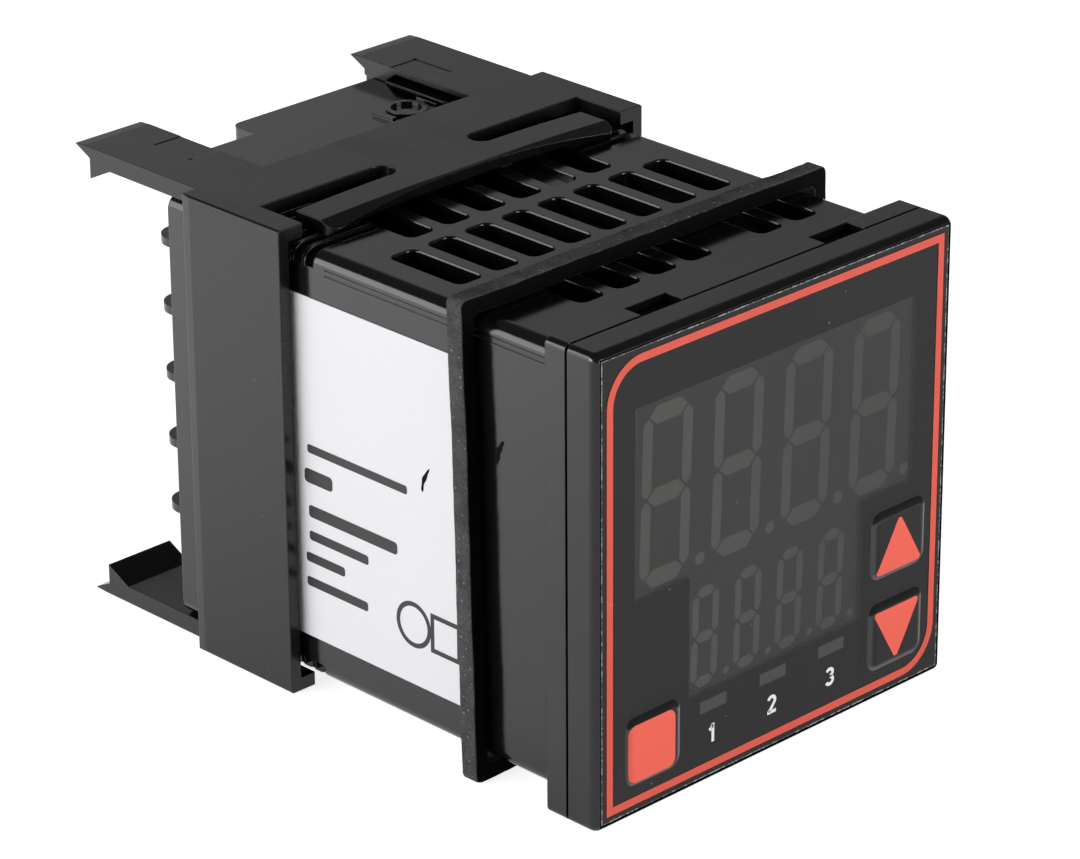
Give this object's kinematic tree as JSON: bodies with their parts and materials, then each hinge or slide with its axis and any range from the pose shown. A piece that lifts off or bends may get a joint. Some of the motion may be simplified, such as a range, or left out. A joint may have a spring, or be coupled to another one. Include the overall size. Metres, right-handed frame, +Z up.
{
  "type": "PID temperature controller",
  "caption": "Square panel-mounting process controller with two digital displays, three keys, a foam gasket, a clip-on bracket and screw terminals behind fins.",
  "frame": {"origin": "centre of the flange's rear face, in the plane of the panel it is fitted to", "axes": "+X to the right as seen from the front, +Y from the front towards the rear terminals, +Z up"},
  "size_m": [0.049, 0.0744, 0.049],
  "materials": {
    "case_plastic": "glossy black moulded plastic",
    "bezel_plastic": "glossy black moulded plastic",
    "overlay_film": "fine matte charcoal film",
    "smoked_window": "smoked clear film",
    "red_ink": "flat red print",
    "key_film": "embossed charcoal film",
    "plunger_plastic": "plain natural plastic",
    "switch_body": "plain black",
    "display_body": "dark grey",
    "segment_resin": "unlit grey resin",
    "led_resin": "unlit grey resin",
    "circuit_board": "green solder mask",
    "component_black": "plain black",
    "capacitor_sleeve": "sleeved can",
    "core_steel": "laminated steel",
    "coil_wrap": "yellow tape over winding",
    "relay_case": "plain blue",
    "terminal_plastic": "black moulded plastic",
    "contact_brass": "plain",
    "plated_steel": "zinc plated",
    "gasket_foam": "matte black foam rubber",
    "label_paper": "white self-adhesive label",
    "bracket_plastic": "satin black moulded plastic"
  },
  "bodies": {
    "controller": {"housing": "case_plastic", "front_bezel": "bezel_plastic", "front_overlay": "overlay_film", "outline_print": "red_ink", "display_window": "smoked_window", "indicator_windows": "smoked_window", "tact_switches": "switch_body", "upper_display": "display_body", "upper_segments": "segment_resin", "lower_display": "display_body", "lower_segments": "segment_resin", "indicator_leds": "led_resin", "display_board": "circuit_board", "main_board": "circuit_board", "power_board": "circuit_board", "main_header": "component_black", "power_header": "component_black", "microcontroller": "component_black", "sensor_amplifier": "component_black", "capacitors": "capacitor_sleeve", "transformer_core": "core_steel", "transformer_coil": "coil_wrap", "relays": "relay_case", "terminal_block": "terminal_plastic", "terminal_contacts": "contact_brass", "terminal_clamps": "plated_steel", "terminal_screws": "plated_steel", "panel_gasket": "gasket_foam", "side_label": "label_paper"},
    "key_up": {"key_up": "key_film", "key_up_symbol": "red_ink", "key_up_plunger": "plunger_plastic"},
    "key_down": {"key_down": "key_film", "key_down_symbol": "red_ink", "key_down_plunger": "plunger_plastic"},
    "key_menu": {"key_menu": "key_film", "key_menu_symbol": "red_ink", "key_menu_plunger": "plunger_plastic"},
    "bracket": {"mounting_bracket": "bracket_plastic"}
  },
  "joints": [
    {"name": "key_up_press", "type": "slide", "parent": "controller", "child": "key_up", "axis": [0, 1, 0], "range_m": [0, 0.0004], "stiffness_N_per_m": 2000},
    {"name": "key_down_press", "type": "slide", "parent": "controller", "child": "key_down", "axis": [0, 1, 0], "range_m": [0, 0.0004], "stiffness_N_per_m": 2000},
    {"name": "key_menu_press", "type": "slide", "parent": "controller", "child": "key_menu", "axis": [0, 1, 0], "range_m": [0, 0.0004], "stiffness_N_per_m": 2000},
    {"name": "bracket_slide", "type": "slide", "parent": "controller", "child": "bracket", "axis": [0, 1, 0], "range_m": [-0.008, 0.012]}
  ]
}
